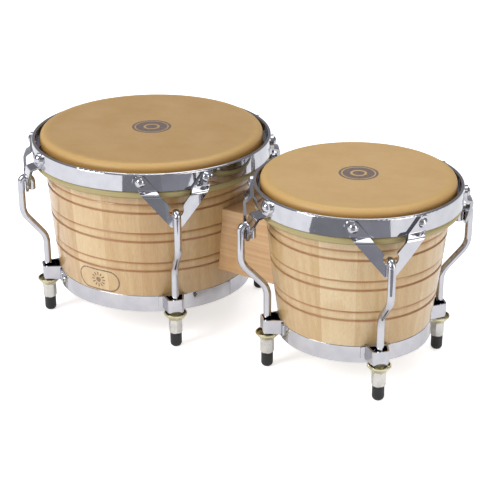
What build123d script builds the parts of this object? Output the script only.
from build123d import *
from dataclasses import dataclass
from math import asin, atan, cos, pi, radians, sin, sqrt, tan
import os

# A pair of bongo drums on one wooden centre block. +Z is up, the drums stand in a row along X, and the
# origin is under the middle of the pair, on the surface that the rubber tips stand on. Millimetres.

# ---- driving dimensions ----
CENTRE_DISTANCE = 232.7
LUG_AZIMUTHS = (-45, 45, 135, 225)
TIP_BOTTOM = 0.0
BAND_BOTTOM = 31.7
BAND_TOP = 48.1
RIM_BOTTOM = 162.9
RIM_TOP = 180.2
HEAD_TOP = 185.9


@dataclass
class Drum:
    """The sizes in which the two drums differ; turn is how far its lugs stand round from the azimuths."""

    name: str
    axis_x: float
    rim_radius: float
    head_radius: float
    band_radius: float
    turn: float


LARGE_RIM = 117.2
SMALL_RIM = 95.1
LARGE_X = (LARGE_RIM - CENTRE_DISTANCE - SMALL_RIM) / 2
SMALL_X = LARGE_X + CENTRE_DISTANCE
DRUMS = (
    Drum("large", LARGE_X, LARGE_RIM, 109.0, 97.4, 2.0),
    Drum("small", SMALL_X, SMALL_RIM, 88.6, 71.9, 0.5),
)

# ---- shell ----
SHELL_WALL = 9.0
SHELL_TOP = 184.1
SHELL_BELLY = 1.2
SHELL_UNDER_HEAD = 0.3
BAND_PROUD = 0.4
BEARING_EDGE_ROUND = 4.2
GROOVE_PAIR_HEIGHTS = (79.3, 110.5, 140.5)
GROOVE_HALF_SPACING = 4.4
GROOVE_HALF_WIDTH = 1.2
GROOVE_DEPTH = 1.2
GROOVE_LIP = 0.2
GROOVE_CUTTER = 4.0

# ---- head ----
SKIN = 1.8
SKIN_SHOULDER = 6.0
BEAD_RADIUS = 4.1
BEAD_INSET = 5.2
FLESH_RING_RADIUS = 2.4
FLESH_RING_CLEARANCE = 0.02

# ---- rim and claws ----
RIM_SHEET = 2.2
RIM_ROLL_RADIUS = 1.7
RIM_LIP_REACH = 3.8
RIM_LIP_THICKNESS = 1.8
CLAW_SHEET = 2.6
CLAW_STEP = 6.5
CLAW_STEP_TOP = 164.2
CLAW_STEP_DROP = 3.2
CLAW_BEND_RADIUS = 2.2
CLAW_ARM_WIDTH = 12.6
CLAW_ARM_SLOPE = 1.22
CLAW_RIVET_SPREAD = 31.5
CLAW_RIVET_HEIGHT = 172.6
CLAW_BOTTOM = 130.6
CLAW_SPARE = 4.0
CLAW_SECTOR = 60
CLAW_CUTTER = 50.0
KEYHOLE_HEIGHT = 147.1
KEYHOLE_RADIUS = 7.0
CLAW_RIVET_SHANK = 2.4
CLAW_RIVET_REACH = 8.0
CLAW_RIVET_HEAD = 4.7
CLAW_RIVET_DOME = 2.8
CLAW_RIVET_TAIL = 3.8
CLAW_RIVET_TAIL_HEIGHT = 1.1

# ---- hook rods ----
ROD_RADIUS = 3.5
HOOK_OUT = 13.0
HOOK_BEND = 5.2
HOOK_SPRING_LINE = 139.1
HOOK_END = 131.1
UPPER_BEND_HEIGHT = 107.1
LOWER_BEND_HEIGHT = 80.6
ROD_BEND_RADIUS = 20.0
ROD_BOTTOM = 9.0
ROD_END_CHAMFER = 0.8

# ---- lug: bracket, washer, nut and tip ----
LUG_OUT = 11.4
BRACKET_BOTTOM = 35.8
BRACKET_TOP = 50.2
BRACKET_HALF_WIDTH = 10.7
BRACKET_FRONT_HALF_WIDTH = 7.4
BRACKET_REACH = 5.7
BRACKET_ROOT = 8.0
BRACKET_CORNER = 3.6
BRACKET_SHEET = 1.6
BRACKET_HOLE = 3.6
BRACKET_PRESS_ROUND = 1.2
FOOT_HALF_SPAN = 14.2
FOOT_CORNER = 1.5
WASHER_RADIUS = 10.9
WASHER_RIM_WIDTH = 1.2
WASHER_RIM_DEPTH = 1.8
WASHER_EDGE = 0.4
WASHER_DISH_DEPTH = 2.2
WASHER_DISH_SLOPE = 0.5
WASHER_SEAT_RADIUS = 6.0
WASHER_FOOT_RADIUS = 6.8
WASHER_HOLE = 3.9
NUT_TOP = 29.2
NUT_SHOULDER = 14.3
NUT_ACROSS_FLATS = 11.6
NUT_END_BEVEL = 0.3
NUT_SHOULDER_BEVEL = 0.5
NUT_BORE = 3.55
NUT_BORE_BOTTOM = 6.5
NUT_SPIGOT = 4.3
NUT_BOTTOM = 4.5
TIP_RADIUS = 5.6
TIP_FLAT = 2.4
TIP_DOME = 4.2
TIP_DOME_MIDDLE = (4.85, 1.7)

# ---- bottom band ----
BAND_SHEET = 1.6
BAND_EDGE_ROUND = 0.5
SEAM_AZIMUTHS = {"large": -4.4, "small": 176.0}
SEAM_WIDTH = 0.5
SEAM_DEPTH = 0.4
BAND_HOLE_AZIMUTHS = {"large": -29.5, "small": 150.0}
BAND_HOLE_RADIUS = 1.4
BAND_HOLE_DROP = 2.8
BAND_RIVET_AZIMUTHS = {"large": (238.5, 58.5), "small": (70.0, 190.0)}
BAND_RIVET_HEIGHT = 40.0
BAND_RIVET_SHANK = 1.9
BAND_RIVET_BORE = 1.2
BAND_RIVET_HEAD = 3.2
BAND_RIVET_HEAD_HEIGHT = 1.1
BAND_RIVET_EDGE = 0.7
BAND_RIVET_DEPTH = 6.0

# ---- centre block and its bolts ----
BLOCK_BOTTOM = 65.6
BLOCK_TOP = 130.1
BLOCK_HALF_WIDTH = 25.0
BLOCK_ROUND = 1.2
BOLT_HEIGHTS = (82.6, 112.6)
BOLT_RADIUS = 4.0
BOLT_HOLE = 4.2
BOLT_HEAD_FLATS = 13.0
BOLT_HEAD_HEIGHT = 5.3
BOLT_NUT_HEIGHT = 6.5
BOLT_PAST_NUT = 3.0
BOLT_WASHER_RADIUS = 8.0
BOLT_WASHER_THICKNESS = 1.6
SPOT_FACE_RADIUS = 9.5
SPOT_FACE_DEPTH = 1.2
BOLT_CUTTER = 20.0


ON_BASE = (Align.CENTER, Align.CENTER, Align.MIN)
ON_CORNER = (Align.MIN, Align.MIN)


def outline(*curves):
    """The face inside curves that are drawn as (radius, height)."""
    return make_face([edge for curve in curves for edge in curve.edges()])


def turned(face):
    """A solid of revolution about Z from a face drawn as (radius, height)."""
    return revolve(Plane.XZ * face, Axis.Z)


def ring(inner, outer, bottom, top):
    """A plain ring about Z."""
    return Pos(0, 0, bottom) * (
        Cylinder(outer, top - bottom, align=ON_BASE) - Cylinder(inner, top - bottom, align=ON_BASE)
    )


def radial_cylinder(radius, start, end, side, height):
    """A cylinder that points out along +X, from radius start to end, at (side, height) across it."""
    return Pos(start, side, height) * Rot(0, 90, 0) * Cylinder(radius, end - start, align=ON_BASE)


def hexagon(across_flats):
    return RegularPolygon(across_flats / sqrt(3), 6)


# ---- shell ----
def shell_radius(drum, height):
    """The shell's outer radius: a taper with a slight belly halfway up."""
    foot = drum.band_radius - BAND_PROUD
    top = drum.head_radius - SKIN - SHELL_UNDER_HEAD
    share = (height - BAND_TOP) / (SHELL_TOP - BAND_TOP)
    return foot + (top - foot) * share + 4 * SHELL_BELLY * share * (1 - share)


def shell_side(drum):
    """The shell's outer line, from the band up to the bearing edge."""
    heights = (BAND_TOP, (BAND_TOP + SHELL_TOP) / 2, SHELL_TOP)
    return ThreePointArc(*((shell_radius(drum, height), height) for height in heights))


def shell_blank(drum):
    """The shell before its grooves and holes are cut."""
    side = shell_side(drum)
    rebate = drum.band_radius - BAND_SHEET
    rest = Polyline(
        side @ 1,
        (shell_radius(drum, SHELL_TOP) - SHELL_WALL, SHELL_TOP),
        (drum.band_radius - SHELL_WALL, BAND_BOTTOM),
        (rebate, BAND_BOTTOM),
        (rebate, BAND_TOP),
        side @ 0,
    )
    return turned(outline(side, rest))


def filled_shell(drum):
    """The shell's outer shape as a plug, which the centre block is hollowed to fit."""
    side = shell_side(drum)
    rest = Polyline(side @ 1, (0, SHELL_TOP), (0, BAND_TOP), side @ 0)
    return turned(outline(side, rest))


def groove_pair(drum, height):
    """What the lathe takes away: two V-shaped cuts with a rounded bead left between them."""
    upper = height + GROOVE_HALF_SPACING
    lower = height - GROOVE_HALF_SPACING
    bead = ThreePointArc(
        (shell_radius(drum, upper) - GROOVE_DEPTH, upper),
        (shell_radius(drum, height), height),
        (shell_radius(drum, lower) - GROOVE_DEPTH, lower),
    )
    rest = Polyline(
        bead @ 1,
        (shell_radius(drum, lower) + GROOVE_LIP, lower - GROOVE_HALF_WIDTH),
        (shell_radius(drum, lower) + GROOVE_CUTTER, lower - GROOVE_HALF_WIDTH),
        (shell_radius(drum, upper) + GROOVE_CUTTER, upper + GROOVE_HALF_WIDTH),
        (shell_radius(drum, upper) + GROOVE_LIP, upper + GROOVE_HALF_WIDTH),
        bead @ 0,
    )
    return turned(outline(bead, rest))


def spot_face_radius(drum, height):
    """How far from the drum's axis a bolt's washer seats on the inside of the shell."""
    return shell_radius(drum, height) - SHELL_WALL + SPOT_FACE_DEPTH


def shell(drum):
    body = shell_blank(drum)
    bearing_edge = body.faces().sort_by(Axis.Z)[-1].edges().sort_by(SortBy.RADIUS)[-1]
    body = fillet(bearing_edge, BEARING_EDGE_ROUND)
    for height in GROOVE_PAIR_HEIGHTS:
        body -= groove_pair(drum, height)
    towards_block = 0 if drum.axis_x < 0 else 180
    for height in BOLT_HEIGHTS:
        seat = spot_face_radius(drum, height)
        hole = radial_cylinder(BOLT_HOLE, seat - BOLT_CUTTER, seat + BOLT_CUTTER, 0, height)
        spot_face = radial_cylinder(SPOT_FACE_RADIUS, seat - BOLT_CUTTER, seat, 0, height)
        body -= Rot(0, 0, towards_block) * (hole + spot_face)
    return body - band_rivet_holes(drum)


# ---- head ----
def bead_centre(drum):
    return (drum.rim_radius - BEAD_INSET, RIM_BOTTOM - BEAD_RADIUS)


def head(drum):
    """The skin: a flat top, a rounded shoulder, a collar, and a bead tucked round the flesh ring."""
    bead_x, bead_z = bead_centre(drum)
    outer = FilletPolyline(
        (0, HEAD_TOP), (drum.head_radius, HEAD_TOP), (drum.head_radius, bead_z), radius=SKIN_SHOULDER
    )
    inner_radius = drum.head_radius - SKIN
    inner = FilletPolyline(
        (0, HEAD_TOP - SKIN),
        (inner_radius, HEAD_TOP - SKIN),
        (inner_radius, bead_z),
        radius=SKIN_SHOULDER - SKIN,
    )
    skin = outline(outer, inner, Line(outer @ 0, inner @ 0), Line(outer @ 1, inner @ 1))
    bead = Pos(bead_x, bead_z) * Circle(BEAD_RADIUS)
    channel = Pos(bead_x, bead_z) * Circle(FLESH_RING_RADIUS + FLESH_RING_CLEARANCE)
    return turned(skin + bead - channel)


def flesh_ring(drum):
    bead_x, bead_z = bead_centre(drum)
    return Pos(0, 0, bead_z) * Torus(bead_x, FLESH_RING_RADIUS)


# ---- rim ----
def rim(drum):
    """A flat hoop with a rolled top edge, and an inner lip that presses on the skin's bead."""
    wall = drum.rim_radius - RIM_SHEET
    roll_height = RIM_TOP - RIM_ROLL_RADIUS
    hoop = Pos(wall, RIM_BOTTOM) * Rectangle(RIM_SHEET, roll_height - RIM_BOTTOM, align=ON_CORNER)
    lip = Pos(wall - RIM_LIP_REACH, RIM_BOTTOM) * Rectangle(RIM_LIP_REACH, RIM_LIP_THICKNESS, align=ON_CORNER)
    roll = Pos(drum.rim_radius - RIM_ROLL_RADIUS, roll_height) * Circle(RIM_ROLL_RADIUS)
    body = turned(hoop + lip + roll)
    for azimuth in lug_azimuths(drum):
        body -= Rot(0, 0, azimuth) * claw_rivet_shanks(drum)
    return body


# ---- claws ----
def claw_section(drum):
    """The claw's sheet from the side: down the rim, out over its bottom edge, and down to the hook."""
    upper = drum.rim_radius + CLAW_SHEET / 2
    lower = upper + CLAW_STEP
    centre_line = FilletPolyline(
        (upper, RIM_TOP + CLAW_SPARE),
        (upper, CLAW_STEP_TOP),
        (lower, CLAW_STEP_TOP - CLAW_STEP_DROP),
        (lower, CLAW_BOTTOM - CLAW_SPARE),
        radius=CLAW_BEND_RADIUS,
    )
    return trace(centre_line, CLAW_SHEET)


def claw_front():
    """The claw from the front: two arms that meet in a V, with a keyhole for the hook."""
    arm_angle = atan(CLAW_ARM_SLOPE)
    reach = CLAW_RIVET_SPREAD / cos(arm_angle)
    middle = (CLAW_RIVET_SPREAD / 2, CLAW_RIVET_HEIGHT - reach * sin(arm_angle) / 2)
    arm = Pos(*middle) * Rot(0, 0, arm_angle * 180 / pi) * SlotCenterToCenter(reach, CLAW_ARM_WIDTH)
    keyhole = Pos(0, KEYHOLE_HEIGHT) * Circle(KEYHOLE_RADIUS)
    below = Pos(0, CLAW_BOTTOM) * Rectangle(CLAW_CUTTER, CLAW_CUTTER, align=(Align.CENTER, Align.MAX))
    return arm + mirror(arm, Plane.YZ) - keyhole - below


def claw(drum):
    """One claw on the +X side of its drum."""
    section = Rot(0, 0, -CLAW_SECTOR / 2) * (Plane.XZ * claw_section(drum))
    sheet = revolve(section, Axis.Z, CLAW_SECTOR)
    cutter = extrude(Plane.YZ.offset(drum.rim_radius - CLAW_CUTTER / 2) * claw_front(), CLAW_CUTTER)
    return (sheet & cutter) - claw_rivet_shanks(drum)


def claw_rivet_azimuth(drum):
    return (180 / pi) * CLAW_RIVET_SPREAD / (drum.rim_radius + CLAW_SHEET)


def claw_rivet_shanks(drum):
    """The two rivet holes of one claw, through the claw and the rim."""
    start = drum.rim_radius - CLAW_RIVET_REACH
    end = drum.rim_radius + CLAW_RIVET_REACH
    shank = radial_cylinder(CLAW_RIVET_SHANK, start, end, 0, CLAW_RIVET_HEIGHT)
    azimuth = claw_rivet_azimuth(drum)
    return Rot(0, 0, azimuth) * shank + Rot(0, 0, -azimuth) * shank


def rivet_dome(radius, height, under_head):
    """The domed outside of a rivet's head, as half a section."""
    sphere = (radius**2 + height**2) / (2 * height)
    half_angle = asin(radius / sphere) / 2
    top = under_head + height
    shoulder = (sphere * sin(half_angle), top - sphere * (1 - cos(half_angle)))
    return ThreePointArc((radius, under_head), shoulder, (0, top))


def claw_rivet(drum):
    """A domed rivet through the rim and the claw, with its tail set inside the rim."""
    under_head = drum.rim_radius + CLAW_SHEET
    tail_top = sqrt((drum.rim_radius - RIM_SHEET) ** 2 - CLAW_RIVET_TAIL**2)
    tail_bottom = tail_top - CLAW_RIVET_TAIL_HEIGHT
    dome = rivet_dome(CLAW_RIVET_HEAD, CLAW_RIVET_DOME, under_head)
    rest = Polyline(
        dome @ 1,
        (0, tail_bottom),
        (CLAW_RIVET_TAIL, tail_bottom),
        (CLAW_RIVET_TAIL, tail_top),
        (CLAW_RIVET_SHANK, tail_top),
        (CLAW_RIVET_SHANK, under_head),
        dome @ 0,
    )
    return Pos(0, 0, CLAW_RIVET_HEIGHT) * Rot(0, 90, 0) * turned(outline(dome, rest))


def claw_rivets(drum):
    rivet = claw_rivet(drum)
    offset = claw_rivet_azimuth(drum)
    return [
        Rot(0, 0, azimuth + side * offset) * rivet for azimuth in lug_azimuths(drum) for side in (-1, 1)
    ]


# ---- hook rods ----
def hook_rod(drum):
    """One rod: hooked over the claw's web, straight down, in towards the shell, and down through the lug."""
    upper = drum.rim_radius + HOOK_OUT
    lower = drum.band_radius + LUG_OUT
    inner = upper - 2 * HOOK_BEND
    end = Line((inner, HOOK_END), (inner, HOOK_SPRING_LINE))
    crown = (inner + HOOK_BEND, HOOK_SPRING_LINE + HOOK_BEND)
    hook = ThreePointArc((inner, HOOK_SPRING_LINE), crown, (upper, HOOK_SPRING_LINE))
    shank = FilletPolyline(
        (upper, HOOK_SPRING_LINE),
        (upper, UPPER_BEND_HEIGHT),
        (lower, LOWER_BEND_HEIGHT),
        (lower, ROD_BOTTOM),
        radius=ROD_BEND_RADIUS,
    )
    path = Plane.XZ * Wire([edge for curve in (end, hook, shank) for edge in curve.edges()])
    rod = sweep(Pos(inner, 0, HOOK_END) * Circle(ROD_RADIUS), path)
    return chamfer(rod.faces().filter_by(GeomType.PLANE).edges(), ROD_END_CHAMFER)


# ---- lugs ----
def lug_azimuths(drum):
    return [azimuth + drum.turn for azimuth in LUG_AZIMUTHS]


def bracket_plan(drum):
    """The bracket from above: walls that lean in from the band to a narrower front with rounded corners."""
    front = drum.band_radius + LUG_OUT + BRACKET_REACH
    root = drum.band_radius - BRACKET_ROOT
    lean = (BRACKET_HALF_WIDTH - BRACKET_FRONT_HALF_WIDTH) / (LUG_OUT + BRACKET_REACH)
    root_half_width = BRACKET_HALF_WIDTH + lean * BRACKET_ROOT
    sides = Polyline(
        (root, -root_half_width),
        (front, -BRACKET_FRONT_HALF_WIDTH),
        (front, BRACKET_FRONT_HALF_WIDTH),
        (root, root_half_width),
        close=True,
    )
    plan = outline(sides)
    return fillet(plan.vertices().sort_by(Axis.X)[-2:], BRACKET_CORNER)


def lug_bracket(drum):
    """A pocket of pressed sheet, open at the top and towards the band, with a welded foot each side."""
    band = drum.band_radius
    height = BRACKET_TOP - BRACKET_BOTTOM
    plan = bracket_plan(drum)
    block = extrude(Pos(0, 0, BRACKET_BOTTOM) * plan, height, dir=(0, 0, 1))
    block = fillet(block.faces().sort_by(Axis.Z)[0].edges().sort_by(Axis.X)[1:], BRACKET_PRESS_ROUND)
    inner_plan = offset(plan, -BRACKET_SHEET)
    pocket = extrude(Pos(0, 0, BRACKET_BOTTOM + BRACKET_SHEET) * inner_plan, height, dir=(0, 0, 1))
    hole = at_lug(drum, Cylinder(BRACKET_HOLE, 2 * BRACKET_TOP))
    feet_height = BAND_TOP - BRACKET_BOTTOM
    feet = RectangleRounded(2 * FOOT_HALF_SPAN, feet_height, FOOT_CORNER)
    feet = Pos(0, BRACKET_BOTTOM + feet_height / 2) * feet
    feet_sheet = ring(band, band + BRACKET_SHEET, BRACKET_BOTTOM, BAND_TOP)
    feet_sheet &= extrude(Plane.YZ * feet, 2 * band)
    inside = Cylinder(band, 4 * BAND_TOP)
    return block - inside + feet_sheet - pocket - hole


def at_lug(drum, body):
    """Moves a body from the Z axis to the lug on the +X side of its drum."""
    return Pos(drum.band_radius + LUG_OUT, 0, 0) * body


def cup_washer(drum):
    """A dished washer: its seat and its rim bear on the bracket, and its narrow foot bears on the nut."""
    rim_inside = WASHER_RADIUS - WASHER_RIM_WIDTH
    dish = BRACKET_BOTTOM - WASHER_DISH_DEPTH
    section = Polyline(
        (WASHER_HOLE, BRACKET_BOTTOM),
        (WASHER_SEAT_RADIUS, BRACKET_BOTTOM),
        (WASHER_SEAT_RADIUS + WASHER_DISH_SLOPE, dish),
        (rim_inside - WASHER_DISH_SLOPE, dish),
        (rim_inside, BRACKET_BOTTOM),
        (WASHER_RADIUS - WASHER_EDGE, BRACKET_BOTTOM),
        (WASHER_RADIUS, BRACKET_BOTTOM - WASHER_EDGE),
        (WASHER_RADIUS, BRACKET_BOTTOM - WASHER_RIM_DEPTH),
        (WASHER_FOOT_RADIUS, NUT_TOP),
        (WASHER_HOLE, NUT_TOP),
        close=True,
    )
    return at_lug(drum, turned(outline(section)))


def lug_nut(drum):
    """A long hex nut with a blind bore for the rod and a turned spigot for the rubber tip."""
    corner = NUT_ACROSS_FLATS / sqrt(3)
    flat = NUT_ACROSS_FLATS / 2
    bevel = (corner - flat) * tan(radians(30)) + NUT_END_BEVEL
    envelope = Polyline(
        (0, NUT_SHOULDER),
        (flat - NUT_SHOULDER_BEVEL, NUT_SHOULDER),
        (corner, NUT_SHOULDER + 2 * bevel),
        (corner, NUT_TOP - bevel),
        (flat, NUT_TOP),
        (0, NUT_TOP),
        close=True,
    )
    hexagonal = extrude(Pos(0, 0, NUT_SHOULDER) * hexagon(NUT_ACROSS_FLATS), NUT_TOP - NUT_SHOULDER)
    spigot = Pos(0, 0, NUT_BOTTOM) * Cylinder(NUT_SPIGOT, NUT_SHOULDER - NUT_BOTTOM, align=ON_BASE)
    bore = Pos(0, 0, NUT_BORE_BOTTOM) * Cylinder(NUT_BORE, NUT_TOP, align=ON_BASE)
    return at_lug(drum, (hexagonal & turned(outline(envelope))) + spigot - bore)


def rubber_tip(drum):
    """A rubber cap over the nut's spigot, domed underneath with a small flat to stand on."""
    dome = ThreePointArc((TIP_FLAT, TIP_BOTTOM), TIP_DOME_MIDDLE, (TIP_RADIUS, TIP_BOTTOM + TIP_DOME))
    rest = Polyline(
        dome @ 1,
        (TIP_RADIUS, NUT_SHOULDER),
        (NUT_SPIGOT, NUT_SHOULDER),
        (NUT_SPIGOT, NUT_BOTTOM),
        (0, NUT_BOTTOM),
        (0, TIP_BOTTOM),
        dome @ 0,
    )
    return at_lug(drum, turned(outline(dome, rest)))


# ---- bottom band ----
def bottom_band(drum):
    outer = drum.band_radius
    body = ring(outer - BAND_SHEET, outer, BAND_BOTTOM, BAND_TOP)
    outer_edges = body.edges().filter_by(GeomType.CIRCLE).sort_by(SortBy.RADIUS)[-2:]
    body = fillet(outer_edges, BAND_EDGE_ROUND)
    seam = Pos(outer - SEAM_DEPTH, 0, 0) * Box(
        BAND_SHEET, SEAM_WIDTH, 2 * BAND_TOP, align=(Align.MIN, Align.CENTER, Align.MIN)
    )
    hole_height = BAND_TOP - BAND_HOLE_DROP
    hole = radial_cylinder(BAND_HOLE_RADIUS, outer - 2 * BAND_SHEET, outer + BAND_SHEET, 0, hole_height)
    body -= Rot(0, 0, SEAM_AZIMUTHS[drum.name]) * seam
    body -= Rot(0, 0, BAND_HOLE_AZIMUTHS[drum.name]) * hole
    return body - band_rivet_holes(drum)


def band_rivet_holes(drum):
    """The holes through the band and into the wood for the hollow rivets."""
    tail = drum.band_radius - BAND_RIVET_DEPTH
    hole = radial_cylinder(BAND_RIVET_SHANK, tail, drum.band_radius + BAND_SHEET, 0, BAND_RIVET_HEIGHT)
    first, second = BAND_RIVET_AZIMUTHS[drum.name]
    return Rot(0, 0, first) * hole + Rot(0, 0, second) * hole


def band_rivets(drum):
    """Hollow rivets that hold the band to the wooden shell."""
    under_head = drum.band_radius
    top = under_head + BAND_RIVET_HEAD_HEIGHT
    tail = under_head - BAND_RIVET_DEPTH
    section = Polyline(
        (BAND_RIVET_BORE, tail),
        (BAND_RIVET_SHANK, tail),
        (BAND_RIVET_SHANK, under_head),
        (BAND_RIVET_HEAD, under_head),
        (BAND_RIVET_HEAD - BAND_RIVET_EDGE, top),
        (BAND_RIVET_BORE, top),
        close=True,
    )
    rivet = Pos(0, 0, BAND_RIVET_HEIGHT) * Rot(0, 90, 0) * turned(outline(section))
    return [Rot(0, 0, azimuth) * rivet for azimuth in BAND_RIVET_AZIMUTHS[drum.name]]


# ---- centre block ----
def bolt_seats(height):
    """Where the washers seat at each end of a bolt, as X in the pair's frame."""
    large, small = DRUMS
    return (
        large.axis_x + spot_face_radius(large, height),
        small.axis_x - spot_face_radius(small, height),
    )


def center_block():
    large, small = DRUMS
    body = Pos((large.axis_x + small.axis_x) / 2, 0, BLOCK_BOTTOM) * Box(
        CENTRE_DISTANCE, 2 * BLOCK_HALF_WIDTH, BLOCK_TOP - BLOCK_BOTTOM, align=ON_BASE
    )
    body = fillet(body.edges().filter_by(Axis.X), BLOCK_ROUND)
    for drum in DRUMS:
        body -= Pos(drum.axis_x, 0, 0) * filled_shell(drum)
    for height in BOLT_HEIGHTS:
        body -= Pos(0, 0, height) * Rot(0, 90, 0) * Cylinder(BOLT_HOLE, 2 * CENTRE_DISTANCE)
    return body


def along_x(body, x, height):
    """Lays a Z-axis body along +X, its base at x."""
    return Pos(x, 0, height) * Rot(0, 90, 0) * body


def block_bolts():
    bolts = []
    for height in BOLT_HEIGHTS:
        start, end = bolt_seats(height)
        head_seat = start - BOLT_WASHER_THICKNESS
        length = end - start + 2 * BOLT_WASHER_THICKNESS + BOLT_NUT_HEIGHT + BOLT_PAST_NUT
        head = extrude(hexagon(BOLT_HEAD_FLATS), BOLT_HEAD_HEIGHT)
        bolt = Pos(0, 0, -BOLT_HEAD_HEIGHT) * head + Cylinder(BOLT_RADIUS, length, align=ON_BASE)
        bolts.append(along_x(bolt, head_seat, height))
    return bolts


def block_washers():
    washers = []
    for height in BOLT_HEIGHTS:
        start, end = bolt_seats(height)
        washer = ring(BOLT_HOLE, BOLT_WASHER_RADIUS, 0, BOLT_WASHER_THICKNESS)
        washers.append(along_x(washer, start - BOLT_WASHER_THICKNESS, height))
        washers.append(along_x(washer, end, height))
    return washers


def block_nuts():
    nuts = []
    for height in BOLT_HEIGHTS:
        end = bolt_seats(height)[1] + BOLT_WASHER_THICKNESS
        nut = extrude(hexagon(BOLT_HEAD_FLATS), BOLT_NUT_HEIGHT) - Cylinder(BOLT_RADIUS, 4 * BOLT_NUT_HEIGHT)
        nuts.append(along_x(nut, end, height))
    return nuts


def write(name, *shapes):
    solids = [solid for shape in shapes for solid in shape.solids()]
    export_step(solids[0] if len(solids) == 1 else Compound(children=solids), f"parts/{name}.step")


def write_drum(drum):
    def placed(body, azimuth=0.0):
        return Pos(drum.axis_x, 0, 0) * Rot(0, 0, azimuth) * body

    write(f"{drum.name}_shell", placed(shell(drum)))
    write(f"{drum.name}_head", placed(head(drum)))
    write(f"{drum.name}_flesh_ring", placed(flesh_ring(drum)))
    write(f"{drum.name}_rim", placed(rim(drum)))
    write(f"{drum.name}_bottom_band", placed(bottom_band(drum)))
    write(f"{drum.name}_claw_rivets", *(placed(rivet) for rivet in claw_rivets(drum)))
    write(f"{drum.name}_band_rivets", *(placed(rivet) for rivet in band_rivets(drum)))
    azimuths = lug_azimuths(drum)
    write(f"{drum.name}_cup_washers", *(placed(cup_washer(drum), azimuth) for azimuth in azimuths))
    repeated = {
        "claw": claw(drum),
        "hook_rod": hook_rod(drum),
        "lug_bracket": lug_bracket(drum),
        "lug_nut": lug_nut(drum),
        "rubber_tip": rubber_tip(drum),
    }
    for name, body in repeated.items():
        for number, azimuth in enumerate(azimuths, start=1):
            write(f"{drum.name}_{name}_{number}", placed(body, azimuth))


os.makedirs("parts", exist_ok=True)
for drum in DRUMS:
    write_drum(drum)
write("center_block", center_block())
write("block_bolts", *block_bolts())
write("block_washers", *block_washers())
write("block_nuts", *block_nuts())
